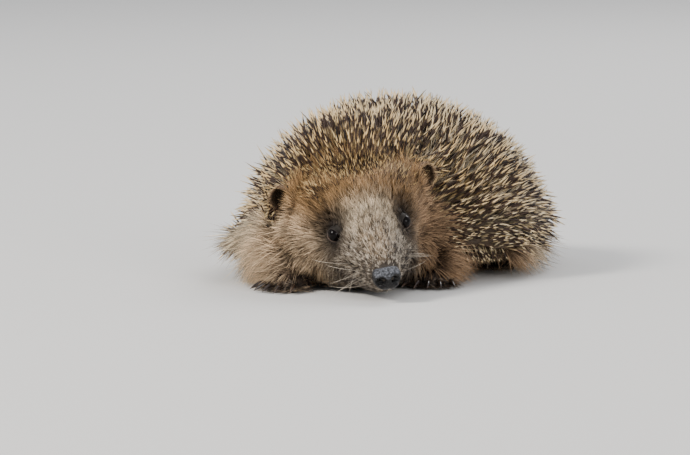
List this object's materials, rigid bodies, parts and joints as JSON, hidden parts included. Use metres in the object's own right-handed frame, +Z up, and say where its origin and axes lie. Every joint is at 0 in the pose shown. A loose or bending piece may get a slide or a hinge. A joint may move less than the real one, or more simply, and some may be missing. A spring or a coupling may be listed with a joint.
{
  "type": "crouching hedgehog figure",
  "caption": "Life-size hedgehog in a low crouch, head down and turned to its left, a dome of spines over short legs, standing on four flat soles.",
  "frame": {"origin": "middle of the footprint, on the floor under the soles", "axes": "-Y towards the animal's front, +X towards its left side, +Z up from the floor"},
  "size_m": [0.1256, 0.1914, 0.0739],
  "materials": {
    "spines": "rough",
    "fur": "rough",
    "skin": "satin",
    "nose": "wet",
    "eye": "gloss",
    "claw": "satin"
  },
  "bodies": {
    "root": {"ear_left": "skin", "ear_right": "skin", "eye_left": "eye", "eye_right": "eye", "foreclaw_left_1": "claw", "foreclaw_left_2": "claw", "foreclaw_left_3": "claw", "foreclaw_left_4": "claw", "foreclaw_left_5": "claw", "foreclaw_right_1": "claw", "foreclaw_right_2": "claw", "foreclaw_right_3": "claw", "foreclaw_right_4": "claw", "foreclaw_right_5": "claw", "forefoot_left": "skin", "forefoot_right": "skin", "foreleg_left": "fur", "foreleg_right": "fur", "head": "fur", "hindclaw_left_1": "claw", "hindclaw_left_2": "claw", "hindclaw_left_3": "claw", "hindclaw_left_4": "claw", "hindclaw_left_5": "claw", "hindclaw_right_1": "claw", "hindclaw_right_2": "claw", "hindclaw_right_3": "claw", "hindclaw_right_4": "claw", "hindclaw_right_5": "claw", "hindfoot_left": "skin", "hindfoot_right": "skin", "hindleg_left": "fur", "hindleg_right": "fur", "jaw": "fur", "neck": "fur", "nose": "nose", "tail": "skin", "trunk": "spines"}
  },
  "joints": []
}
